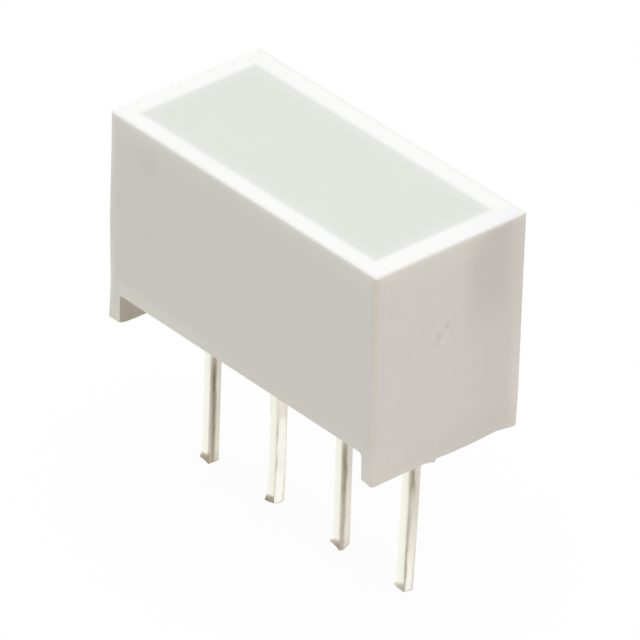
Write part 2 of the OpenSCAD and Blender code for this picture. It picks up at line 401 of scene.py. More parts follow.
def upright_shade(finish, spot):
    """Darker line down the upright between the near long face and the end at +X."""
    line = finish.wane(spot.right.most(spot.near), *UPRIGHT_LINE)
    deeper = finish.fade(spot.z, *UPRIGHT_DEEP) * 0.5 + 0.5
    return line * finish.fade(spot.z, *UPRIGHT_FOOT) * deeper


def gap_shade(finish, spot):
    """Shade on the inner faces of the skirts, which pales further in and higher up."""
    inside = finish.wane(abs(spot.x), CHAMBER_L / 2, CHAMBER_L / 2 + 0.03)
    inside *= finish.wane(spot.z, STANDOFF - 0.05, STANDOFF) * finish.fade(spot.near, 0.0, 0.03)
    deep = spot.z + spot.near.least(spot.back) * GAP_INWARDS
    return inside * (1 - finish.fade(deep, *GAP_PALES) * 0.85)


def white_plastic():
    """White moulded plastic: faint clouds, a few specks, and light that glows through its edges, with
    painted shade on the end at +X and along the rounded top edges.
    """
    finish = Finish(bpy.data.materials.new("white_plastic"))
    place = finish.place()
    spot = spot_at(finish, place)
    on_end = finish.fade(spot.x, BODY_HIGH.x - EDGE_R, BODY_HIGH.x - EDGE_R / 2)
    on_top = finish.wane(spot.top, *TOP_SKIN)

    grain = finish.cloud(place, 16.0, 3.0)
    colour = finish.blend(finish.cloud(place, 0.7, 3.0), *PLASTIC_CLOUDS)
    colour = finish.blend(grain * 0.5 + 0.25, finish.blend(0.05, colour, BLACK), colour)
    # painted shade in a patch high on the end at +X
    shade_patch = finish.fade(spot.y, *SHADE_PATCH_NEAR) * (1 - finish.fade(spot.y, *SHADE_PATCH_BACK) * 0.75)
    in_from_edge = spot.near.least(spot.right).least(spot.back)
    far_rim = finish.fade(spot.x, 4.3, 5.0) * finish.fade(spot.y, 0.0, 2.0)
    cells = finish.node("ShaderNodeTexVoronoi", None, {"Vector": place, "Scale": 1.1})
    smudge_x, smudge_z = SMUDGE_PLACE
    smudge = finish.wane(distance(spot.x - smudge_x, spot.z - smudge_z), *SMUDGE_REACH)
    tints = [
        # painted shade on the back part of the end at +X, darker in the patch
        (on_end * finish.fade(spot.y, *END_BACK), END_BACK_SHADE),
        (on_end * shade_patch * finish.fade(spot.z, *SHADE_PATCH_UP) * 0.9, END_PATCH_SHADE),
        (edge_glow(finish, spot, on_end), EDGE_GLOW),
        (upright_shade(finish, spot), UPRIGHT_SHADE),
        (gap_shade(finish, spot), GAP_SHADE),
        # painted shade along the rounded near, right and back top edges
        (finish.wane(in_from_edge, 0.02, 0.16) * finish.wane(spot.top, 0.02, 0.07), ROUNDED_TOP_SHADE),
        (far_rim * on_top, FAR_RIM),
        (window_side(finish, spot.x, spot.y) * on_top, RESIN_BELOW),
        (finish.wane(cells, 0.03, 0.11) * 0.06, DUST),
        (smudge * finish.wane(spot.near, *OUTER_SKIN) * 0.07, DUST),
    ]
    for dent_y, dent_z, radius, strength in GATE_DENTS:
        stain = finish.wane(distance(spot.y - dent_y, spot.z - dent_z), 0.0, radius * STAIN_REACH)
        tints.append((stain * on_end * (0.3 * strength), GATE_STAIN))
    for amount, tint in tints:
        colour = finish.blend(amount, colour, tint)
    roughness = finish.cloud(place, 6.0) * 0.12 + 0.42
    return finish.surface(colour, roughness, normal=finish.relief(grain, 0.006))


def frosted_resin():
    """Diffused casting resin, greyer than the housing, that pales softly towards its border."""
    finish = Finish(bpy.data.materials.new("frosted_resin"))
    place = finish.place()
    x, y, z = finish.axes(place)
    colour = finish.blend(finish.cloud(place, 0.5), *RESIN_CLOUDS)
    paler = finish.wane(window_depth(x, y), 0.05, 0.5) * 0.14
    border = (1 - window_side(finish, x, y)).most(paler)
    colour = finish.blend(border * finish.wane(BODY_H - z, *TOP_SKIN), colour, RESIN_BORDER)
    roughness = finish.cloud(place, 3.0) * 0.1 + 0.3
    return finish.surface(colour, roughness, normal=finish.relief(finish.cloud(place, 2.0), 0.004))


def plated_metal():
    """Bright plated lead: smooth rolled faces, mottled sheared sides, a torn band and bare cut tips. Painted
    shade darkens the faces high up and the rolled corner, and a painted highlight lies on some sides.
    """
    finish = Finish(bpy.data.materials.new("plated_metal"))
    place = finish.place()
    # The torn attribute holds the torn band and dullness, painted shade on the rolled corner, and below
    # nought a painted highlight
    torn = finish.point_values("torn")
    bare = finish.point_values("bare")
    on_side = finish.fade(abs(finish.axes(finish.turned())[0]), 0.5, 0.9)
    streaks = finish.cloud(finish.stretch(place, (9.0, 9.0, 3.0)), 1.0, 3.0)
    mottle = finish.cloud(finish.stretch(place, (10.0, 10.0, 5.0)), 1.0, 4.0)
    colour = finish.blend(streaks, *ROLLED_FACE)
    # Painted shade: the faces are darker high up, in the shade under the housing, and paler lower down
    low_down = finish.wane(finish.axes(place)[2], -2.8, -1.4)
    colour = finish.blend(low_down * 0.55, colour, LIT_LOW_FACE)
    side = finish.blend(finish.fade(mottle, 0.3, 0.7), *SHEARED_SIDE)
    # below nought the torn values paint a highlight on the side
    side = finish.blend(torn * -1, side, SIDE_HIGHLIGHT)
    colour = finish.blend(on_side, colour, side)
    # the torn band, and painted shade on the rolled corner of the near face
    colour = finish.blend(torn * (0.75 + mottle * 0.5), colour, TORN_BAND_AND_SHADE)
    colour = finish.blend(bare * finish.fade(mottle, 0.0, 0.4), colour, BARE_COPPER)
    wear = torn.most(bare) * 0.3 + on_side * 0.08 + torn.least(0) * 0.2
    relief = finish.relief(mottle * (0.2 + on_side + torn.most(0)), 0.008)
    return finish.surface(colour, wear + (0.27 + mottle * 0.1), 1.0, relief)


def chip_crystal():
    """Sawn crystal of a chip, dark and glossy, with a paler contact layer on its top."""
    finish = Finish(bpy.data.materials.new("chip_crystal"))
    saw = finish.cloud(finish.stretch(finish.place(), (4.0, 4.0, 60.0)), 1.0)
    top = finish.fade(finish.axes(finish.turned())[2], 0.5, 0.9)
    colour = finish.blend(top, finish.blend(saw, *CRYSTAL), CHIP_CONTACT)
    return finish.surface(colour, saw * 0.15 + 0.2, top * 0.6)


def silver_adhesive():
    """Silver filled adhesive with flakes that catch the light."""
    finish = Finish(bpy.data.materials.new("silver_adhesive"))
    flakes = finish.cloud(finish.place(), 90.0, 1.0)
    return finish.surface(finish.blend(flakes, *ADHESIVE), flakes * 0.3 + 0.35, 0.7)


def gold():
    """Drawn gold wire."""
    finish = Finish(bpy.data.materials.new("gold"))
    draw = finish.cloud(finish.place(), 40.0, 1.0)
    return finish.surface(finish.blend(draw, *DRAWN_GOLD), draw * 0.1 + 0.18, 1.0)


def mesh_from(bm, name):
    """Closes a bmesh and returns its mesh."""
    mesh = bpy.data.meshes.new(name)
    bm.to_mesh(mesh)
    bm.free()
    return mesh


def put(name, data):
    """Places a mesh, a lamp or a camera in the scene and returns its object."""
    thing = bpy.data.objects.new(name, data)
    bpy.context.scene.collection.objects.link(thing)
    return thing


def rounded_face(bm, length, width, radius, level, centre=(0, 0)):
    """Adds one flat rectangle with round corners and returns its face."""
    corners = bmesh.ops.create_grid(bm, x_segments=1, y_segments=1, size=0.5)["verts"]
    bmesh.ops.scale(bm, vec=(length, width, 1), verts=corners)
    bmesh.ops.translate(bm, vec=(*centre, level), verts=corners)
    rounded = bmesh.ops.bevel(bm, geom=corners, offset=radius, affect="VERTICES", segments=CORNER_STEPS,
                              profile=0.5, material=-1)
    return rounded["verts"][0].link_faces[0]


def prism(length, width, radius, low, high, centre=(0, 0)):
    """Upright block with round corners."""
    bm = bmesh.new()
    face = rounded_face(bm, length, width, radius, low, centre)
    lifted = bmesh.ops.extrude_face_region(bm, geom=[face], use_keep_orig=True)["geom"]
    top = [item for item in lifted if isinstance(item, bmesh.types.BMVert)]
    bmesh.ops.translate(bm, vec=(0, 0, high - low), verts=top)
    bmesh.ops.recalc_face_normals(bm, faces=bm.faces)
    return bm


def slot_size(side):
    """Where the slot for two lead heads starts and ends along the row, and its width."""
    die_head = span("lead_1" if side < 0 else "lead_3")[1]
    start = die_head.x - DIE_HEAD_W - SLOT_CLEAR
    end = die_head.x + HEAD_GAP + BOND_HEAD_W + SLOT_CLEAR
    return start, end, 2 * (die_head.y + SLOT_CLEAR)


def lead_slot(side):
    """Opening in the web for two lead heads."""
    start, end, width = slot_size(side)
    bm = bmesh.new()
    made = bmesh.ops.create_cube(bm, size=1)["verts"]
    bmesh.ops.scale(bm, vec=(end - start, width, WEB_T + 2 * LAP), verts=made)
    bmesh.ops.translate(bm, vec=((start + end) / 2, 0, WEB_LEVEL + WEB_T / 2), verts=made)
    return bm


def bowl(side):
    """One reflector, from its floor round a chip to its brim under half of the window."""
    chip_low, chip_high = span("led_die_a" if side < 0 else "led_die_b")
    chip_x = (chip_low.x + chip_high.x) / 2
    slot_start, slot_end, _ = slot_size(side)
    floor_l = 2 * (max(slot_end - chip_x, chip_x - slot_start) + BOWL_FLOOR_MARGIN)
    brim_l = (WINDOW_L - DIVIDER_T) / 2 - TOLERANCE
    brim_w = WINDOW_W - 2 * TOLERANCE
    brim_x = side * (WINDOW_L - brim_l - TOLERANCE) / 2 + WINDOW_SHIFT[0]
    bm = bmesh.new()
    rings = []
    for step in range(BOWL_STEPS + 1):
        rise = step / BOWL_STEPS
        spread = math.sin(rise * math.pi / 2)
        face = rounded_face(
            bm,
            floor_l + (brim_l - floor_l) * spread,
            BOWL_FLOOR_W + (brim_w - BOWL_FLOOR_W) * spread,
            BOWL_FLOOR_W / 2 * BOWL_ROUND + (WINDOW_R - BOWL_FLOOR_W / 2) * spread,
            FLOOR_LEVEL + (POCKET_LEVEL + LAP - FLOOR_LEVEL) * rise,
            (chip_x + (brim_x - chip_x) * spread, WINDOW_SHIFT[1] * spread),
        )
        rings.append(face.edges[:])
        if 0 < step < BOWL_STEPS:
            bmesh.ops.delete(bm, geom=[face], context="FACES_ONLY")
    for lower, upper in zip(rings, rings[1:]):
        bmesh.ops.bridge_loops(bm, edges=lower + upper)
    bmesh.ops.recalc_face_normals(bm, faces=bm.faces)
    return bm


def cavities(top, bottom):
    """Every hollow of the housing, from the window down through the bowls to the back."""
    parts = [prism(WINDOW_L, WINDOW_W, WINDOW_R, POCKET_LEVEL, top, WINDOW_SHIFT)]
    for side in (-1, 1):
        parts += [bowl(side), lead_slot(side)]
    parts.append(prism(CHAMBER_L, CHAMBER_W, CHAMBER_R, bottom, WEB_LEVEL))
    return parts


def standoff_gap():
    """The air under the long walls, from skirt to skirt."""
    bm = prism(CHAMBER_L, 2 * STANDOFF, SKIRT_R, -BODY_W, BODY_W)
    bmesh.ops.rotate(bm, matrix=Matrix.Rotation(math.pi / 2, 3, "X"), verts=bm.verts)
    return bm


FLAT_ANGLE = math.radians(0.3)
HARD_ANGLE = math.radians(30)


def carve(start, tools, operation):
    """Joins the tools to a mesh, or cuts them out of it, and returns the mesh that is left."""
    work = put("work", mesh_from(start, "work"))
    used = [put("tool", mesh_from(tool, "tool")) for tool in tools]
    for tool in used:
        cut = work.modifiers.new("cut", "BOOLEAN")
        cut.operation = operation
        cut.solver = "EXACT"
        cut.object = tool
    bpy.context.view_layer.update()
    shaped = work.evaluated_get(bpy.context.evaluated_depsgraph_get())
    result = bmesh.new()
    result.from_mesh(shaped.to_mesh())
    shaped.to_mesh_clear()
    for thing in [work, *used]:
        mesh = thing.data
        bpy.data.objects.remove(thing)
        bpy.data.meshes.remove(mesh)
    bmesh.ops.remove_doubles(result, verts=result.verts, dist=TOLERANCE / 2)
    bmesh.ops.dissolve_limit(result, angle_limit=FLAT_ANGLE, verts=result.verts, edges=result.edges)
    return result


def soften(bm, wanted, radius, segments):
    """Rounds the sharp edges whose two ends both pass the test."""
    edges = [
        edge for edge in bm.edges
        if len(edge.link_faces) == 2 and edge.calc_face_angle() > HARD_ANGLE
        and all(wanted(vert.co) for vert in edge.verts)
    ]
    bmesh.ops.bevel(bm, geom=edges, offset=radius, affect="EDGES", segments=segments, profile=0.5,
                    material=-1, clamp_overlap=True)


def slice_faces(bm, wanted, axis, level):
    """Cuts the faces that pass the test square to one axis, and nothing else."""
    faces = [face for face in bm.faces if wanted(face.calc_center_median())]
    edges = {edge for face in faces for edge in face.edges}
    verts = {vert for face in faces for vert in face.verts}
    direction = Vector([float(name == axis) for name in "xyz"])
    bmesh.ops.bisect_plane(bm, geom=[*faces, *edges, *verts], dist=TOLERANCE / 10,
                           plane_co=direction * level, plane_no=direction)


def finish_piece(name, bm, material, node, sharp=35.0):
    """Turns a bmesh in millimetres into a piece in metres that stands for a node of the frame."""
    bmesh.ops.scale(bm, vec=(MM, MM, MM), verts=bm.verts)
    mesh = mesh_from(bm, name)
    mesh.materials.append(material)
    mesh.shade_smooth()
    mesh.set_sharp_from_angle(angle=math.radians(sharp))
    piece = put(name, mesh)
    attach(piece, "root")
    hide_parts(node)
    return piece


# Heights of the lower edges of the two skirts as they were moulded, from the near corner to the far one
RIGHT_SKIRT = ((-2.45, 0.0), (-0.85, 0.0), (-0.65, -0.01), (-0.49, -0.04), (-0.415, -0.07), (-0.35, -0.1),
               (-0.33, -0.03), (-0.25, -0.005), (0.15, -0.035), (0.9, -0.045), (1.35, -0.03), (1.65, -0.015),
               (1.8, -0.03), (2.1, -0.08), (2.25, -0.1), (2.45, -0.12))
LEFT_SKIRT = ((-2.45, 0.025), (-2.25, -0.026), (-1.95, -0.042), (-1.65, -0.046), (-1.2, -0.05), (1.2, -0.05),
              (2.45, -0.02))
SKIRT_CUTS = 30
SKIRT_FREE = 0.6  # height at which the waves have died out
WEAR_TOP = STANDOFF + 0.1  # the cuts for the waves end here
WEAR_INNER = CHAMBER_L / 2 - 0.2
SKIRT_MIDDLE = CHAMBER_L / 2 + 0.16
LEFT_SKIRT_IN = 0.04  # how far the left skirt's inner face stands in at its foot
NEAR_CORNER_FILL = 0.35  # how much fuller the near corner of the left foot is
FOOT_LIFT = 0.065  # of the right skirt's near foot, full this far in from the end and gone this far back
FOOT_LIFT_W = 0.2
FOOT_LIFT_DEPTH = 0.25
FAR_FOOT_IN = 0.045  # taper of the right skirt's far foot, and where it starts
FAR_FOOT_DEPTH = 0.6

# How far two round uprights are drawn out towards their sharp corners, by height, and the back and left
# top edges all along. 0 keeps the plain arc.
RIGHT_FILL = ((6.12, 0.5), (4.9, 0.34), (3.65, 0.2), (2.4, 0.13), (1.5, 0.04), (0.6, 0.0))
LEFT_FILL = ((6.12, 0.0), (5.3, 0.02), (4.15, 0.22), (3.0, 0.39), (1.9, 0.19), (1.3, 0.03), (0.6, 0.0))
TOP_FILL = 0.6


def wear_skirt(bm, side, points):
    """Gives the lower edge of a skirt its moulded waves, and a nib of flash at +X."""
    def on_side(c):
        return c.x * side > 0

    def in_skirt(c):
        return c.z < WEAR_TOP and c.x * side > WEAR_INNER

    slice_faces(bm, on_side, "z", WEAR_TOP)
    slice_faces(bm, lambda c: on_side(c) and c.z < WEAR_TOP, "x", WEAR_INNER * side)
    cuts = [-BODY_W / 2 + BODY_W * step / SKIRT_CUTS for step in range(1, SKIRT_CUTS)]
    for y in cuts + [y for y, _ in points[1:-1]]:
        slice_faces(bm, in_skirt, "y", y)
    slice_faces(bm, in_skirt, "x", SKIRT_MIDDLE * side)
    arc = Vector((EDGE_R - BODY_L / 2, EDGE_R - BODY_W / 2))
    for vert in bm.verts:
        x, y, z = vert.co
        if x * side < WEAR_INNER or z > SKIRT_FREE:
            continue
        free = 1 - z / SKIRT_FREE
        vert.co.z += along(points, y)[0] * free
        if side > 0:
            in_from_near = share(1 - (y + BODY_W / 2) / FOOT_LIFT_DEPTH)
            vert.co.z += FOOT_LIFT * free * share((BODY_L / 2 - x) / FOOT_LIFT_W) * in_from_near
            vert.co.y -= FAR_FOOT_IN * free * share(1 - (BODY_W / 2 - y) / FAR_FOOT_DEPTH)
        elif x < arc.x and y < arc.y:
            outwards = 1 + NEAR_CORNER_FILL * free
            vert.co.x = max(-BODY_L / 2, arc.x + (x - arc.x) * outwards)
            vert.co.y = max(-BODY_W / 2, arc.y + (y - arc.y) * outwards)


def fuller(radius, amount, first, second):
    """Two distances into a rounding, drawn out towards the sharp corner that it rounds."""
    bulge = amount * first * second / radius
    return min(radius, first + bulge), min(radius, second + bulge)


def fill_edges(bm):
    """Makes two round uprights and the back and left top edges fuller than plain arcs."""
    flat_x, flat_y = BODY_L / 2 - EDGE_R, BODY_W / 2 - EDGE_R
    flat_top = BODY_H - TOP_EDGE

    def at_round(c):
        return abs(c.x) > flat_x and abs(c.y) > flat_y

    for level, _ in RIGHT_FILL[1:-1] + LEFT_FILL[1:-1]:
        slice_faces(bm, at_round, "z", level)
    for vert in bm.verts:
        x, y, z = vert.co
        if at_round(vert.co) and x * y > 0 and z > SKIRT_FREE:
            fill = along(RIGHT_FILL if x > 0 else LEFT_FILL, z)[0]
            out_x, out_y = fuller(EDGE_R, fill, abs(x) - flat_x, abs(y) - flat_y)
            vert.co.x = math.copysign(flat_x + out_x, x)
            vert.co.y = math.copysign(flat_y + out_y, y)
        for axis, way, half in ((1, 1, BODY_W / 2), (0, -1, BODY_L / 2)):
            flat = half - TOP_EDGE
            out, rise = vert.co[axis] * way - flat, vert.co.z - flat_top
            if out > 0 and rise > 0:
                out, rise = fuller(TOP_EDGE, TOP_FILL, out, rise)
                vert.co[axis] = way * (flat + out)
                vert.co.z = flat_top + rise


# The scar of the gate: half the side of its fine field, and the depths of the cut, the dents and the grain
GATE_FIELD = 0.42
GATE_CUTS = 30
CUT_DEPTH = 0.006
DENT_DEPTH = 0.014
GRAIN_DEPTH = 0.008
GRAIN_SCALE = 11


def scar_depth(y, z):
    """How far the cut gate lies below the face round it."""
    centre_y, centre_z = GATE_PLACE
    away = math.hypot(y - centre_y, z - centre_z)
    depth = CUT_DEPTH * share(1 - (away / GATE_R) ** 6)
    for dent_y, dent_z, radius, strength in GATE_DENTS:
        depth += DENT_DEPTH * strength * math.exp(-((y - dent_y) ** 2 + (z - dent_z) ** 2) / radius ** 2)
    torn = noise.noise(Vector((y * GRAIN_SCALE, z * GRAIN_SCALE, 3.0)))
    return depth + GRAIN_DEPTH * abs(torn) * share(1 - (away / GATE_FIELD) ** 2)


def scar_gate(bm):
    """Sinks the scar of the cut gate into the end at +X."""
    centre_y, centre_z = GATE_PLACE

    def on_end(c):
        return c.x > BODY_HIGH.x - TOLERANCE

    def in_strip(c):
        return on_end(c) and abs(c.y - centre_y) < GATE_FIELD

    def in_field(c):
        return in_strip(c) and abs(c.z - centre_z) < GATE_FIELD

    for wanted, axis, centre in ((on_end, "y", centre_y), (in_strip, "z", centre_z)):
        slice_faces(bm, wanted, axis, centre - GATE_FIELD)
        slice_faces(bm, wanted, axis, centre + GATE_FIELD)
    field = [face for face in bm.faces if in_field(face.calc_center_median())]
    edges = {edge for face in field for edge in face.edges}
    bmesh.ops.subdivide_edges(bm, edges=list(edges), cuts=GATE_CUTS, use_grid_fill=True)
    for vert in bm.verts:
        if in_field(vert.co):
            vert.co.x -= scar_depth(vert.co.y, vert.co.z)


def make_housing(material):
    """White housing: a block with the window, the bowls, the back chamber and the standoff gap cut out."""
    block = prism(BODY_L, BODY_W, EDGE_R, 0, BODY_H)
    bm = carve(block, cavities(BODY_H + OVER, -OVER) + [standoff_gap()], "DIFFERENCE")

    def top_outside(c):
        beside = abs(c.x) > BODY_L / 2 - RIM_END_W / 2 or abs(c.y) > BODY_W / 2 - RIM_SIDE_W / 2
        return beside and c.z > BODY_H - TOLERANCE

    def inside_foot(c):
        return c.z < TOLERANCE and abs(c.x - CHAMBER_L / 2) < TOLERANCE

    def left_skirt(c):
        return -TOLERANCE < c.x + CHAMBER_L / 2 < SKIRT_R and c.z < STANDOFF - TOLERANCE

    def notch_edge(c):
        return left_skirt(c) and c.y < TOLERANCE - BODY_W / 2

    def low_down(c):
        return c.z < STANDOFF + TOLERANCE

    soften(bm, inside_foot, SKIRT_CHAMFER, segments=1)
    for vert in bm.verts:
        if left_skirt(vert.co):
            vert.co.x += LEFT_SKIRT_IN * (1 - (vert.co.x + CHAMBER_L / 2) / SKIRT_R)
    soften(bm, notch_edge, NOTCH_R, segments=4)
    wear_skirt(bm, 1, RIGHT_SKIRT)
    wear_skirt(bm, -1, LEFT_SKIRT)
    scar_gate(bm)
    soften(bm, top_outside, TOP_EDGE, segments=4)
    fill_edges(bm)
    soften(bm, low_down, LOWER_EDGE, segments=2)
    piece = finish_piece("white_housing", bm, material, "housing")
    piece.modifiers.new("even_normals", "WEIGHTED_NORMAL").keep_sharp = True


# The back of the resin: its hollow, and how high it crept up the walls and the leads before it set
BACK_SAG = 0.1
CREEP_WALL = 0.06
CREEP_LEAD = 0.11
CREEP_REACH = 0.16
RIPPLE = 0.006
BACK_CELL = 0.06


def lead_x(lead):
    return (lead - 1.5) * LEAD_PITCH + LEAD_SHIFT[lead]


def back_height(x, y):
    """Height of the set resin at the back of the bar."""
    hollow = BACK_SAG * (1 - (2 * y / CHAMBER_W) ** 2)
    wall = min(CHAMBER_L / 2 - abs(x), CHAMBER_W / 2 - abs(y))
    height = hollow - CREEP_WALL * math.exp(-max(0.0, wall) / CREEP_REACH)
    for lead in LEADS:
        away_x = max(0.0, abs(x - lead_x(lead)) - LEAD_W[lead] / 2)
        away_y = max(0.0, abs(y) - LEAD_T / 2)
        height -= CREEP_LEAD * math.exp(-math.hypot(away_x, away_y) / CREEP_REACH)
    return height + RIPPLE * noise.noise(Vector((x, y, 0)))


def make_casting(material):
    """Resin that fills the bowls, holds the leads and shows as the window."""
    parts = cavities(BODY_H, BACK_LEVEL)
    bm = carve(parts[0], parts[1:], "UNION")

    def at_back(c):
        return c.z < BACK_LEVEL + TOLERANCE

    for axis, size in (("x", CHAMBER_L), ("y", CHAMBER_W)):
        for cell in range(1, round(size / BACK_CELL)):
            slice_faces(bm, at_back, axis, cell * BACK_CELL - size / 2)
    for vert in bm.verts:
        if at_back(vert.co):
            vert.co.z += max(-CREEP_WALL, back_height(vert.co.x, vert.co.y))
    finish_piece("frosted_casting", bm, material, "epoxy_casting")


# The part of each lead that shows. Its rows are closer together near the tip and near the burred edge.
SHANK_TOP = 1.5
HEAD_BOTTOM = 1.3
SHANK_ROWS = 90
FACE_COLUMNS = 8
SIDE_COLUMNS = 18
ROW_POWER = 1.6
COLUMN_POWER = 1.35
EDGE_ROLL = 0.05

# The cut tips, with left and right as seen from the near side:
# rise and arch of the near edge towards the left, with the arch at its highest a third of the way along
# near, the rise of the whole near edge, and near_end, the share of the thickness where that ends
# roll, the radius of the back edge
# burr, its reach at the left end, burr_right, its share at the right end, and burr_h, its height
# near_step and back_step, how far the near and the back face step inwards
# flare, how far the left edge spreads, and cut, how bare the cut edge of the side is
Tip = namedtuple("Tip", "rise arch near near_end roll burr burr_right burr_h near_step back_step flare cut")
TIPS = (
    Tip(0.095, 0.02, 0.02, 1.0, 0.11, 0.045, 0.0, 0.24, 0.0, 0.0, 0.025, 0.75),
    Tip(-0.01, -0.02, 0.068, 0.35, 0.1, 0.06, 0.1, 0.3, -0.03, 0.035, 0.025, 0.35),
    Tip(0.19, 0.015, 0.03, 0.25, 0.28, 0.095, 0.0, 0.4, 0.0, 0.0, 0.0, 0.55),
    Tip(0.12, -0.035, 0.05, 0.9, 0.03, 0.055, 0.0, 0.4, 0.02, 0.035, 0.035, 0.35),
)
ARCH_PEAK = 4 / 27  # of a * (1 - a) ** 2
LIFT_H = 0.5  # height over which the lift of the cut end dies out
STEP_H = 1.2
FLARE_H = 0.95
FLARE_FADE = 0.5
BURR_SWELL = 1.35  # how soon the burr has its full reach
BURR_THROUGH = 2.2  # how soon it ends on the way to the back
BURR_POWER = 1.5
RAGGED_H = 0.12  # height of the ragged end, and how far it wanders across and through the lead
RAGGED_X = 0.004
RAGGED_Y = 0.006
RAGGED_GRAIN = 14
RAGGED_GRAIN_UP = 9

# Bare copper of each tip: its level at the left and the right end of the near face, its strength there, and
# its strength on the side near that face and far from it
Bare = namedtuple("Bare", "low_left low_right left right near far")
BARES = (
    Bare(-4.50, -4.40, 0.9, 0.85, 0.4, 0.12),
    Bare(-4.43, -4.33, 1.0, 0.85, 0.0, 0.05),
    Bare(-4.42, -4.41, 0.8, 0.85, 0.2, 0.08),
    Bare(-4.52, -4.42, 0.6, 0.7, 0.0, 0.1),
)
CUT_EDGE_H = 0.09
BARE_CORNER = 0.06  # depth of the bare corner between face and side
BARE_NEAR = 0.3  # strength on the side from which on that corner is fully bare
BARE_WANDER = 0.03  # how far the upper end of the bare part wanders
BARE_FADE = 0.08
BARE_DEEPEN = 0.2  # height over which it goes on getting darker

# Torn band of each lead at some levels: the depths where it starts and ends, its strength, and how dull the
# side is behind it and at its far edge. Below nought the side is smoother and has a painted highlight
# instead.
TEARS = (
    (
        (-1.25, 0.03, 0.17, 0.3, 0.36, 0.36), (-1.5, 0.02, 0.18, 0.61, 0.35, 0.35),
        (-1.8, 0.03, 0.19, 0.81, 0.35, 0.35), (-2.1, 0.035, 0.188, 0.91, 0.32, 0.34),
        (-2.35, 0.04, 0.17, 0.94, 0.27, 0.32), (-2.6, 0.04, 0.195, 0.89, 0.28, 0.32),
        (-3.0, 0.05, 0.205, 0.79, 0.31, 0.34), (-3.6, 0.05, 0.2, 0.83, 0.27, 0.3),
        (-4.0, 0.06, 0.2, 0.81, 0.25, 0.3), (-4.4, 0.05, 0.2, 0.72, 0.25, 0.28),
        (-4.9, 0.05, 0.2, 0.6, 0.26, 0.24),
    ),
    (
        (-1.25, -0.05, 0.06, 0.14, 0.13, 0.2), (-2.0, -0.05, 0.07, 0.26, 0.14, 0.24),
        (-2.5, -0.05, 0.08, 0.5, -0.6, 0.13), (-3.0, -0.05, 0.05, 0.35, -0.5, 0.06),
        (-3.5, -0.05, 0.07, 0.48, -0.25, 0.1), (-3.9, -0.05, 0.04, 0.45, -0.85, 0.25),
        (-4.9, -0.05, 0.04, 0.5, -0.9, 0.3),
    ),
    (
        (-1.25, 0.02, 0.16, 0.3, 0.36, 0.36), (-1.5, 0.01, 0.16, 0.62, 0.38, 0.38),
        (-1.8, 0.02, 0.16, 0.86, 0.36, 0.34), (-2.4, 0.03, 0.18, 0.8, 0.34, 0.3),
        (-3.0, 0.01, 0.17, 0.73, 0.21, 0.24), (-3.5, 0.03, 0.17, 0.65, 0.2, 0.2),
        (-4.1, 0.0, 0.16, 0.63, 0.18, 0.22), (-4.9, -0.02, 0.13, 0.57, 0.2, 0.26),
    ),
    (
        (-0.8, 0.05, 0.13, 0.3, 0.3, 0.26), (-1.0, 0.05, 0.14, 0.85, 0.38, 0.3),
        (-1.3, 0.04, 0.15, 0.85, 0.4, 0.34), (-1.5, -0.03, 0.2, 0.68, 0.4, 0.32),
        (-1.75, -0.05, 0.2, 0.52, 0.4, 0.32), (-2.0, -0.05, 0.1, 0.48, 0.38, 0.33),
        (-2.5, -0.05, 0.13, 0.54, 0.28, 0.3), (-3.0, -0.05, 0.1, 0.6, 0.2, 0.22),
        (-3.22, -0.05, 0.08, 0.52, 0.18, 0.23), (-3.4, -0.05, 0.08, 0.64, 0.16, 0.24),
        (-4.0, -0.05, 0.08, 0.7, 0.0, 0.28), (-4.3, -0.05, 0.09, 0.62, -0.1, 0.3),
        (-4.9, -0.05, 0.07, 0.5, -0.5, 0.32),
    ),
)
TEAR_DEPTH = 0.014
TEAR_POWER = 0.6
BAND_START = 0.16  # how softly the band starts and ends
BAND_EDGE = 0.08
BAND_WANDER = 0.02  # how far its end wanders
FAR_START = 0.22  # where the far edge's dullness takes over, and how softly
FAR_EDGE = 0.1

# Dull rolled corner with painted shade, between the near face and the torn side: its two levels, the shares
# of the face that it takes there, its strength beside the band, the least of the band that it follows, and
# the face's dullness and painted shade towards that corner
ROLL_START = -1.5
ROLL_END = (-2.0, -2.0, -2.0, -3.4)
ROLL_REACH = (0.36, 0.22)
ROLL_DULL_AND_SHADE = 0.65
ROLL_LEAST = 0.3
FACE_DULL_AND_SHADE = 0.06


def shank_drop(lead):
    """Length of a shank from the bend at the height of the standoff to its tip."""
    return (STANDOFF + LEAD_LEN[lead]) / math.cos(math.radians(LEAD_LEAN[lead]))


def row_height(lead, up):
    """Height of a row of a shank above its tip."""
    return (shank_drop(lead) + SHANK_TOP - STANDOFF) * up ** ROW_POWER


def rolled_off(radius, y):
    """How far a round back edge falls short of a sharp one."""
    into_roll = max(0.0, y - (LEAD_T / 2 - radius))
    return radius - math.sqrt(max(0.0, radius ** 2 - into_roll ** 2))


def tip_lift(lead, across, y):
    """Height of the cut end above the lowest point of the tip."""
    tip = TIPS[lead]
    through = y / LEAD_T + 0.5
    left = 1 - across
    lift = (tip.rise * left + tip.arch * across * left ** 2 / ARCH_PEAK) * (1 - through)
    return lift + tip.near * share(1 - through / tip.near_end) + rolled_off(tip.roll, y)


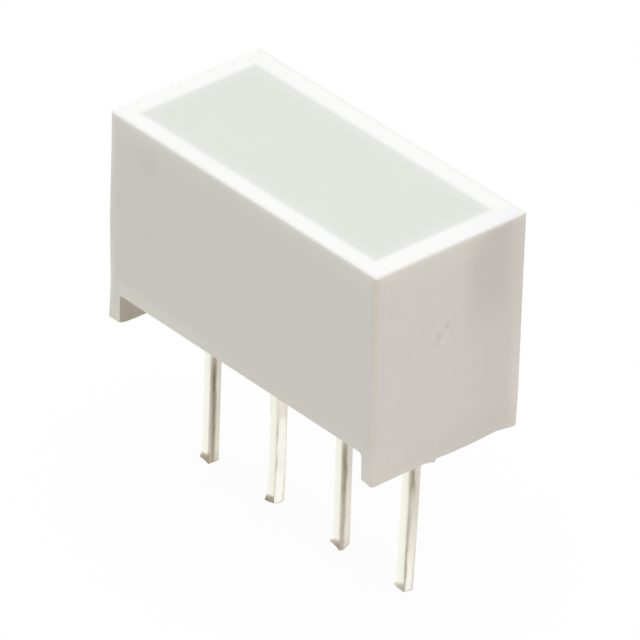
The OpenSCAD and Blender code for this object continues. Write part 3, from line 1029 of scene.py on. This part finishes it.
def shank_point(lead, across, through, up):
    """Place of a point of a shank, given as shares of its width, its thickness and its length."""
    tip = TIPS[lead]
    left = 1 - across
    drop = shank_drop(lead)
    height = row_height(lead, up)
    y = (through ** COLUMN_POWER - 0.5) * LEAD_T
    half = LEAD_W[lead] / 2 - rolled_off(EDGE_ROLL, y)
    _, tear_end, tear_strength, _, _ = along(TEARS[lead], height - drop + STANDOFF)
    into_tear = (y + LEAD_T / 2) / tear_end
    if into_tear < 1:
        half -= TEAR_DEPTH * tear_strength * math.sin(math.pi * into_tear) ** TEAR_POWER
    x = 2 * (across - 0.5) * half
    z = height + tip_lift(lead, across, y) * share(1 - height / LIFT_H)
    burr = share(BURR_SWELL * share(1 - height / tip.burr_h) ** 2) * share(1 - BURR_THROUGH * through)
    y -= tip.burr * burr * (left ** BURR_POWER * (1 - tip.burr_right) + tip.burr_right)
    y += (tip.near_step * (1 - through) - tip.back_step * through) * share(1 - height / STEP_H)
    x -= tip.flare * left * (1 - through) * share((FLARE_H - height) / FLARE_FADE)
    grain = noise.noise(Vector((x * RAGGED_GRAIN + lead * 7, y * RAGGED_GRAIN, z * RAGGED_GRAIN_UP)))
    shake = grain * share(1 - height / RAGGED_H)
    x += RAGGED_X * shake
    y += RAGGED_Y * shake
    z = max(z, 0.0) - drop
    if z < 0:
        lean = math.radians(LEAD_LEAN[lead])
        x, z = x * math.cos(lean) + z * math.sin(lean), z * math.cos(lean) - x * math.sin(lean)
    return Vector((x + lead_x(lead), y, STANDOFF + z))


def torn_dull_and_painted_light(lead, across, depth, level):
    """How torn or dull a point of a shank is, with painted shade on the rolled corner of its near face.
    Below 0 the side is smoother and has a painted highlight.
    """
    start, end, strength, dull, far_dull = along(TEARS[lead], level)
    if depth > 0:
        end += BAND_WANDER * noise.noise(Vector((level * 2.3, lead * 5.0, 0)))
        band = share((depth - start) / BAND_START + 0.5) * share((end - depth) / BAND_EDGE + 0.5)
        dull += (far_dull - dull) * share((depth - FAR_START) / FAR_EDGE)
        return dull + (strength - dull) * band
    reach = along(((ROLL_START, ROLL_REACH[0]), (ROLL_END[lead], ROLL_REACH[1])), level)[0]
    corner = ROLL_DULL_AND_SHADE * max(ROLL_LEAST, strength) * share(1 - (1 - across) / reach)
    return max(FACE_DULL_AND_SHADE * across, corner)


def bare_share(lead, across, depth, place, height):
    """How bare the copper is at a point of a shank."""
    bare = BARES[lead]
    strength = bare.left + (bare.right - bare.left) * across
    if depth > 0:
        corner = bare.right * (1 - share(depth / BARE_CORNER)) * share(bare.near / BARE_NEAR)
        side = bare.near + (bare.far - bare.near) * share(depth / LEAD_T)
        strength = max(corner, side, TIPS[lead].cut * share(1 - height / CUT_EDGE_H))
    low = bare.low_left + (bare.low_right - bare.low_left) * across
    below = low - place.z + BARE_WANDER * noise.noise(Vector((place.x * 9, place.y * 9, lead)))
    return strength * share(below / BARE_FADE) * (0.65 + 0.35 * share(below / BARE_DEEPEN))


def add_head(bm, node):
    """Adds the upper part of a lead as it is in the frame, closed at its lower end."""
    head = bmesh.new()
    head.from_mesh(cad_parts[node].data)
    bmesh.ops.scale(head, vec=(1 / MM, 1 / MM, 1 / MM), verts=head.verts)
    bmesh.ops.remove_doubles(head, verts=head.verts, dist=TOLERANCE / 2)
    bmesh.ops.bisect_plane(head, geom=[*head.verts, *head.edges, *head.faces], plane_co=(0, 0, HEAD_BOTTOM),
                           plane_no=(0, 0, 1), clear_inner=True)
    rim = [edge for edge in head.edges if edge.is_boundary]
    bmesh.ops.contextual_create(head, geom=rim)
    work = mesh_from(head, "work")
    bm.from_mesh(work)
    bpy.data.meshes.remove(work)


def make_lead(lead, material):
    """Plated lead: its coined or flat head as in the frame, and the sheared shank that shows."""
    node = f"lead_{lead + 1}"
    bm = bmesh.new()
    made = bmesh.ops.create_cube(bm, size=1)["verts"]
    bmesh.ops.translate(bm, vec=(0.5, 0.5, 0.5), verts=made)
    for axis, cuts in ((2, SHANK_ROWS), (0, FACE_COLUMNS), (1, SIDE_COLUMNS)):
        edges = [edge for edge in bm.edges if abs(edge.verts[0].co[axis] - edge.verts[1].co[axis]) > 0.5]
        bmesh.ops.subdivide_edges(bm, edges=edges, cuts=cuts, use_grid_fill=True)
    # the torn layer also holds painted shade on the rolled corner and, below nought, a painted highlight on
    # the side
    torn = bm.verts.layers.float.new("torn")
    bare = bm.verts.layers.float.new("bare")
    for vert in bm.verts:
        across, through, up = vert.co
        place = shank_point(lead, across, through, up)
        depth = through ** COLUMN_POWER * LEAD_T
        vert[torn] = torn_dull_and_painted_light(lead, across, depth, place.z)
        vert[bare] = bare_share(lead, across, depth, place, row_height(lead, up))
        vert.co = place
        vert.co.z = max(vert.co.z, TIP_LEVEL)
    add_head(bm, node)
    finish_piece(f"plated_{node}", bm, material, node, sharp=50.0)


def dress_inner_nodes():
    """Finishes for the chips, their adhesive and the wires, which stay as they are in the frame."""
    finishes = {"led_die": chip_crystal(), "die_attach": silver_adhesive(), "bond_wire": gold()}
    for name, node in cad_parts.items():
        for start, material in finishes.items():
            if name.startswith(start):
                for slot in node.material_slots:
                    slot.material = material


# The camera's three turns, the place that it looks at, how far off it stands, and its lens
AZIMUTH = 48.584
ELEVATION = 32.57
ROLL = 1.286
AIM = (-0.377, 0.565, 1.020)
DISTANCE = 216.97
LENS = 483.94
SENSOR_W = 36.0
CLIP_START = 10.0


def make_camera():
    """Long lens, from the right and above, with a slight roll."""
    turn = Matrix()
    for angle, axis in ((AZIMUTH, "Z"), (90 - ELEVATION, "X"), (ROLL, "Z")):
        turn = turn @ Matrix.Rotation(math.radians(angle), 4, axis)
    back = turn.to_3x3() @ Vector((0, 0, 1))
    data = bpy.data.cameras.new("camera")
    data.sensor_width = SENSOR_W
    data.lens = LENS
    data.clip_start = CLIP_START * MM
    camera = put("camera", data)
    camera.matrix_world = Matrix.Translation((Vector(AIM) + back * DISTANCE) * MM) @ turn
    bpy.context.scene.camera = camera


# The lamps: name, place, size, power in watts and colour. All face the middle of the bar.
DAYLIGHT = (0.97, 0.985, 1.0)
LAMPS = (
    ("overhead", (0, 0, 160), 140, 0.203, DAYLIGHT),
    ("right_fill", (150, -30, 30), 90, 0.038, (1.0, 0.8, 0.61)),
    ("front_fill", (-30, -150, 30), 90, 0.0165, (1.0, 0.9, 0.66)),
)
LAMP_AIM = (0, 0, 2.0)
STUDIO_LIGHT = 0.44

FLOOR_SIZE = 400.0
FLOOR_SHADE = 0.05  # how much of the floor that is seen is lit, and so shows the part's shadow
FLOOR_TINT = rgb(0.58, 0.555, 0.52)
FLOOR_LIT = rgb(0.9, 0.9, 0.9)


def add_lamp(name, place, size, power, colour):
    """Square soft lamp."""
    data = bpy.data.lights.new(name, "AREA")
    data.size = size * MM
    data.energy = power
    data.color = colour
    lamp = put(name, data)
    lamp.location = Vector(place) * MM
    lamp.rotation_euler = (Vector(LAMP_AIM) - Vector(place)).to_track_quat("-Z", "Y").to_euler()


def seen_directly(finish):
    """1 for rays from the camera, a mirror or through glass, and 0 for the light that falls on things."""
    path = finish.node("ShaderNodeLightPath").socket.node.outputs
    kinds = ("Camera", "Glossy", "Transmission")
    camera, glossy, through = (Term(finish, path[f"Is {kind} Ray"]) for kind in kinds)
    return camera.most(glossy).most(through)


def make_world():
    """Plain dim studio round the part, white where it is seen."""
    finish = Finish(bpy.data.worlds.new("studio"))
    bpy.context.scene.world = finish.owner
    dim = finish.node("ShaderNodeBackground", None, {"Color": rgb(*DAYLIGHT), "Strength": STUDIO_LIGHT})
    white = finish.node("ShaderNodeBackground", None, {"Color": WHITE, "Strength": 1.0})
    both = finish.node("ShaderNodeMixShader", None, {0: seen_directly(finish), 1: dim, 2: white})
    finish.node("ShaderNodeOutputWorld", None, {"Surface": both})


def make_floor():
    """Pale floor under the tips, nearly white where it is seen directly, with the part's soft shadow."""
    finish = Finish(bpy.data.materials.new("pale_floor"))
    tints = (FLOOR_TINT, FLOOR_LIT)
    pale, lit = (finish.node("ShaderNodeBsdfDiffuse", None, {"Color": tint}) for tint in tints)
    white = finish.node("ShaderNodeEmission", None, {"Color": WHITE, "Strength": 1.0})
    seen = finish.node("ShaderNodeMixShader", None, {0: FLOOR_SHADE, 1: white, 2: lit})
    both = finish.node("ShaderNodeMixShader", None, {0: seen_directly(finish), 1: pale, 2: seen})
    finish.node("ShaderNodeOutputMaterial", None, {"Surface": both})
    bm = bmesh.new()
    bmesh.ops.create_grid(bm, x_segments=1, y_segments=1, size=FLOOR_SIZE / 2 * MM)
    bmesh.ops.translate(bm, vec=(0, 0, TIP_LEVEL * MM), verts=bm.verts)
    mesh = mesh_from(bm, "floor")
    mesh.materials.append(finish.owner)
    put("floor", mesh)


make_camera()
bpy.context.scene.view_settings.view_transform = "Standard"
make_world()
make_floor()
for lamp in LAMPS:
    add_lamp(*lamp)

make_housing(white_plastic())
make_casting(frosted_resin())
plated = plated_metal()
for lead in LEADS:
    make_lead(lead, plated)
dress_inner_nodes()
